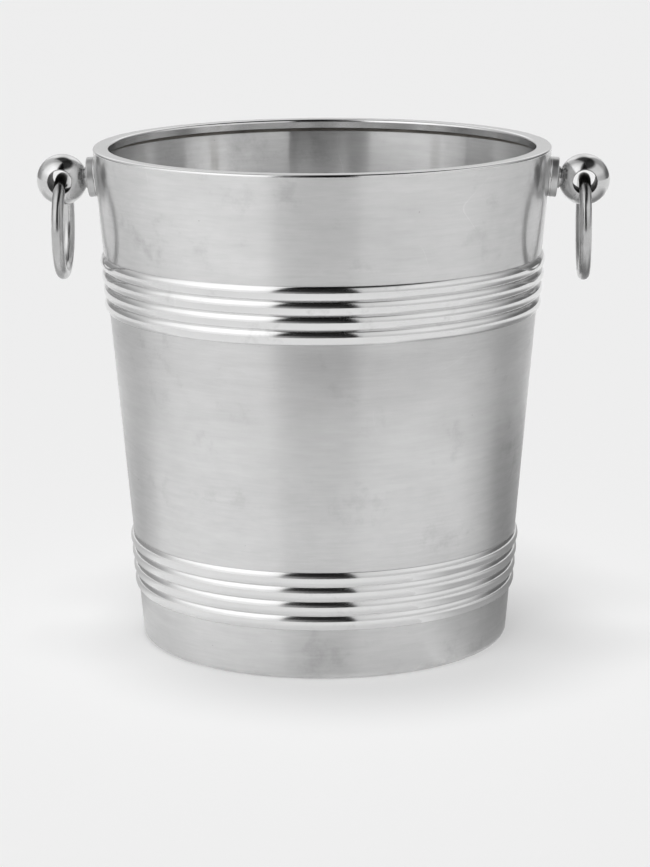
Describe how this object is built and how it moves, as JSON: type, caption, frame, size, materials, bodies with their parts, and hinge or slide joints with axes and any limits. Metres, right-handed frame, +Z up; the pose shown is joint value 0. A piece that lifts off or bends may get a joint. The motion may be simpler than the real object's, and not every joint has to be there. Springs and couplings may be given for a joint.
{
  "type": "champagne bucket",
  "caption": "Tapered silver-plated bucket for cooling a bottle, with reeded bands round the wall and ring handles hung in balls.",
  "frame": {"origin": "centre of the foot ring's flat face, on the surface that the bucket stands on", "axes": "+Z up along the bucket's axis, +X through the right ring handle, +Y to the back"},
  "size_m": [0.252, 0.201, 0.22],
  "materials": {
    "satin_silver_plate": "satin",
    "polished_silver_plate": "polished",
    "nickelled_brass": "satin"
  },
  "bodies": {
    "bucket": {"body_wall": "satin_silver_plate", "bottom_plate": "satin_silver_plate", "mouth_rim": "polished_silver_plate", "upper_reeded_band": "polished_silver_plate", "lower_reeded_band": "polished_silver_plate", "left_saddle_plate": "polished_silver_plate", "left_ball_lug": "polished_silver_plate", "left_lug_stud": "nickelled_brass", "left_inner_washer": "nickelled_brass", "left_dome_nut": "nickelled_brass", "right_saddle_plate": "polished_silver_plate", "right_ball_lug": "polished_silver_plate", "right_lug_stud": "nickelled_brass", "right_inner_washer": "nickelled_brass", "right_dome_nut": "nickelled_brass"},
    "left_ring": {"left_ring_handle": "polished_silver_plate"},
    "right_ring": {"right_ring_handle": "polished_silver_plate"}
  },
  "joints": [
    {"name": "left_ring_swing", "type": "hinge", "parent": "bucket", "child": "left_ring", "pos_m": [-0.11479, 0, 0.20456], "axis": [0, 1, 0], "range_deg": [-20, 220]},
    {"name": "right_ring_swing", "type": "hinge", "parent": "bucket", "child": "right_ring", "pos_m": [0.11479, 0, 0.20456], "axis": [0, -1, 0], "range_deg": [-20, 220]}
  ]
}
